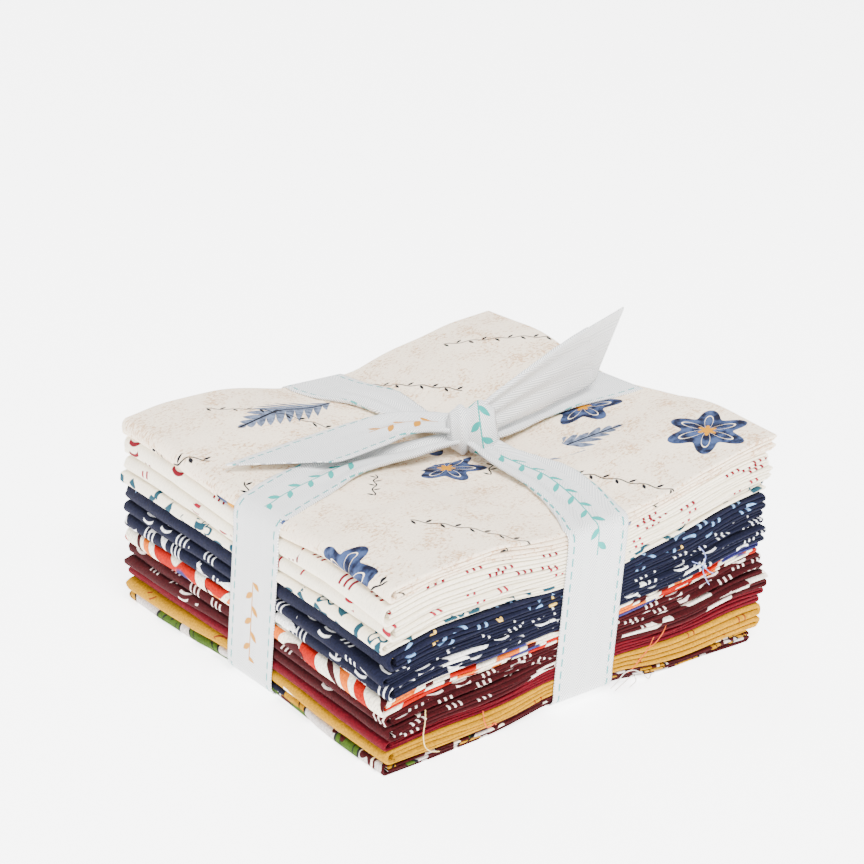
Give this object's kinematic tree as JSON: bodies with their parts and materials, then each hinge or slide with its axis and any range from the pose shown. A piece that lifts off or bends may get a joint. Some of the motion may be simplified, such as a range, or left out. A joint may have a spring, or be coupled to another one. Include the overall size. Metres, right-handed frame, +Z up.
{
  "type": "fat quarter bundle",
  "caption": "Stack of folded quilting cottons in cream, navy, maroon, yellow and grey prints, tied both ways with a flat white ribbon, a knot and slanted free ends",
  "frame": {"origin": "centre of the stack's footprint, on the surface that the bundle rests on", "axes": "+X along the longer folded side towards the closed folds, +Y towards the back, +Z up"},
  "size_m": [0.1444, 0.1342, 0.0907],
  "materials": {
    "cotton_grey": "printed cotton, matte",
    "cotton_yellow": "printed cotton, matte",
    "cotton_crimson": "printed cotton, matte",
    "cotton_maroon_stars": "printed cotton, matte",
    "cotton_maroon_ticks": "printed cotton, matte",
    "cotton_wavy_bands": "printed cotton, matte",
    "cotton_navy_stars": "printed cotton, matte",
    "cotton_navy_ticks": "printed cotton, matte",
    "cotton_navy_flecks": "printed cotton, matte",
    "cotton_cream_teal": "printed cotton, matte",
    "cotton_cream_plain": "printed cotton, matte",
    "cotton_cream_ticks": "printed cotton, matte",
    "cotton_parchment": "printed cotton, matte",
    "ribbon_twill": "woven twill tape, soft sheen"
  },
  "bodies": {
    "root": {"cloth_grey_print": "cotton_grey", "cloth_yellow": "cotton_yellow", "cloth_crimson_stars": "cotton_crimson", "cloth_maroon_stars": "cotton_maroon_stars", "cloth_maroon_ticks": "cotton_maroon_ticks", "cloth_wavy_bands": "cotton_wavy_bands", "cloth_navy_stars": "cotton_navy_stars", "cloth_navy_ticks": "cotton_navy_ticks", "cloth_navy_flecks": "cotton_navy_flecks", "cloth_cream_teal": "cotton_cream_teal", "cloth_cream_plain": "cotton_cream_plain", "cloth_cream_ticks": "cotton_cream_ticks", "cloth_parchment": "cotton_parchment", "ribbon": "ribbon_twill"}
  },
  "joints": []
}
